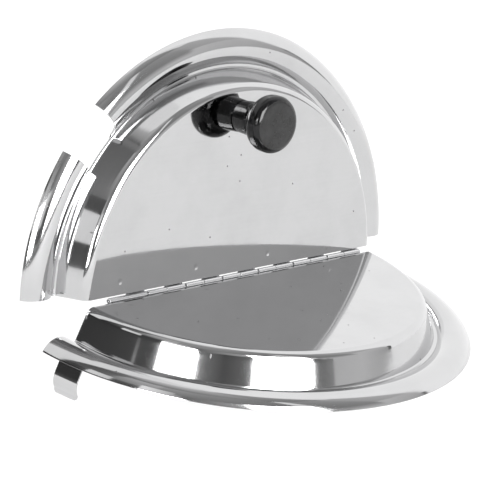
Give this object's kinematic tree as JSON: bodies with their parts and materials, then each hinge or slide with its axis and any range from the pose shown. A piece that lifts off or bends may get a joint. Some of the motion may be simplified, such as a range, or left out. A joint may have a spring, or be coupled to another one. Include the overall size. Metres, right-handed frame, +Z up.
{
  "type": "hinged inset cover",
  "caption": "Round stainless cover for a food-warmer inset: half stays put, half lifts on a piano hinge by a black knob, with a ladle notch in its rim and spring clips under the fixed rim.",
  "frame": {"origin": "bottom centre of the bounding box with the cover open as shown, level with the lower ends of the two clips", "axes": "+X along the hinge, towards the end away from the ladle notch; +Y from the fixed half towards the hinged half; +Z up, square to the fixed top plate"},
  "size_m": [0.254, 0.1602, 0.1577],
  "materials": {
    "polished_stainless": "polished",
    "hinge_stainless": "polished",
    "black_phenolic": "gloss",
    "insert_brass": "satin",
    "plated_fasteners": "satin"
  },
  "bodies": {
    "fixed_half": {"fixed_half_cover": "polished_stainless", "hinge_leaf_fixed": "hinge_stainless", "hinge_pin": "hinge_stainless", "clip_left": "polished_stainless", "clip_right": "polished_stainless"},
    "hinged_half": {"hinged_half_cover": "polished_stainless", "hinge_leaf_hinged": "hinge_stainless", "knob": "black_phenolic", "knob_insert": "insert_brass", "knob_washer": "plated_fasteners", "knob_screw": "plated_fasteners"}
  },
  "joints": [
    {"name": "lid_hinge", "type": "hinge", "parent": "fixed_half", "child": "hinged_half", "pos_m": [0, 0.04593, 0.03495], "axis": [1, 0, 0], "range_deg": [-83, 76]}
  ]
}
